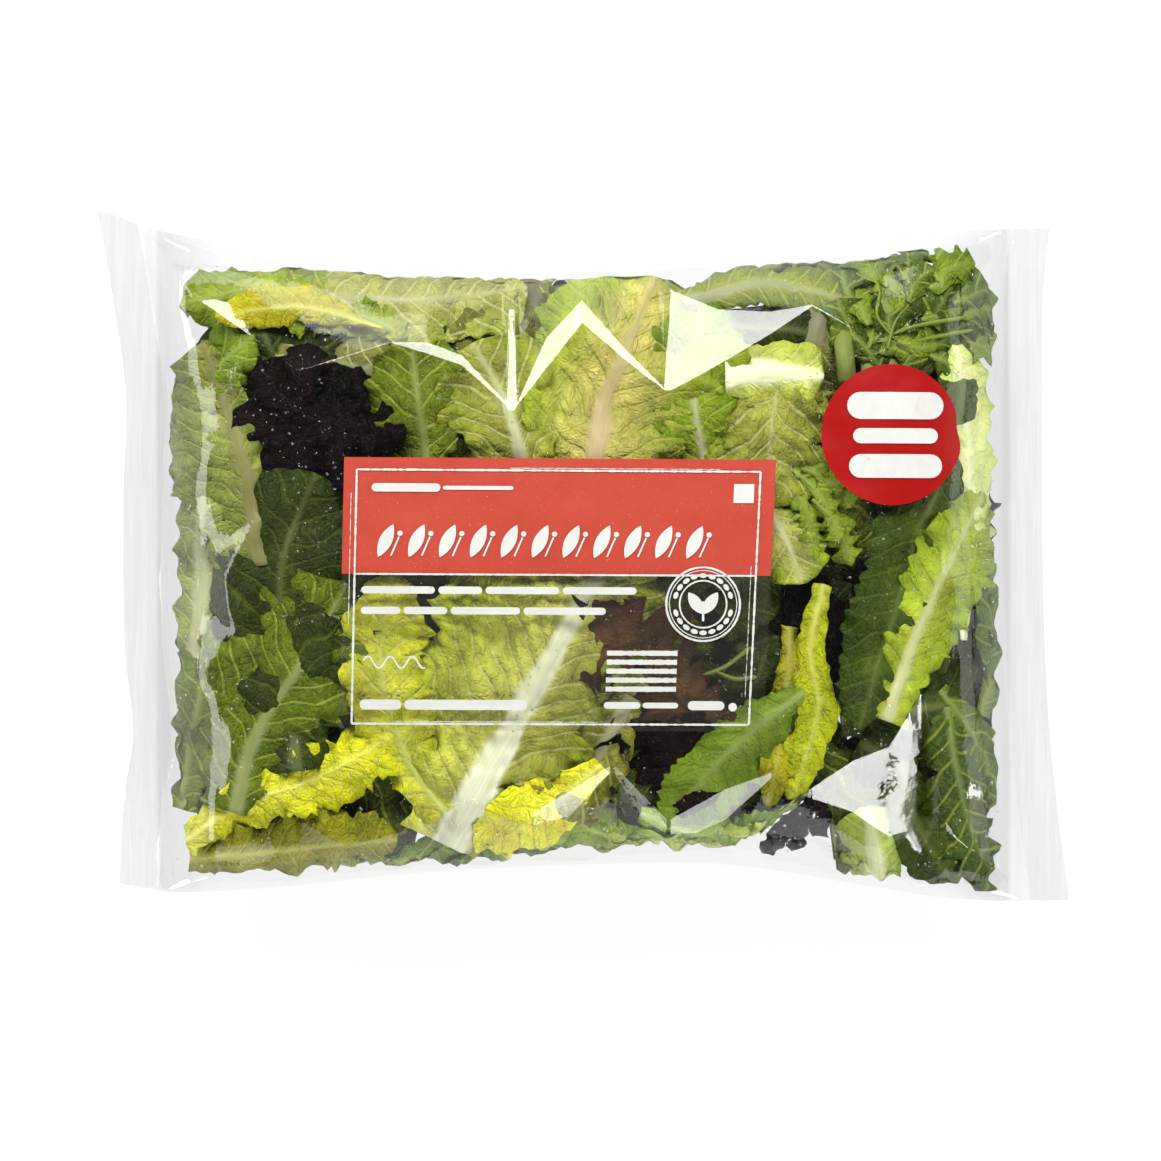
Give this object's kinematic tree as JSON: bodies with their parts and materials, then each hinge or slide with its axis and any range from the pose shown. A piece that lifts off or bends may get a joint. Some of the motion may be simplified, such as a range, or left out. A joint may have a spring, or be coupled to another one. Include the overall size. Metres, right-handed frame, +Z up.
{
  "type": "bag of salad leaves",
  "caption": "Sealed clear pillow bag of mixed salad leaves with crimped ends, a printed label and a round sticker on the film.",
  "frame": {"origin": "on the table under the middle of the bag, which lies on its back with the printed side up", "axes": "+X along the bag's length from the left crimp to the right one as the print is read, +Y across it towards the top of the print, +Z up out of the printed side"},
  "size_m": [0.3498, 0.2483, 0.0749],
  "materials": {
    "film": "clear and glossy, with flat creases and crimped ends",
    "label_print": "satin coral red print",
    "label_tint": "smoky clear print",
    "print_white": "satin white ink",
    "sticker_print": "smooth satin red",
    "leaf_dark": "dark green blistered leaf",
    "leaf_green": "mid green leaf with pale veins",
    "leaf_pale": "pale green leaf with a white rib",
    "leaf_yellow": "yellow heart leaf",
    "leaf_red": "dark purple ruffled leaf",
    "water": "small clear drops"
  },
  "bodies": {
    "root": {"bag": "film", "label": "label_print", "sticker": "sticker_print"}
  },
  "joints": []
}
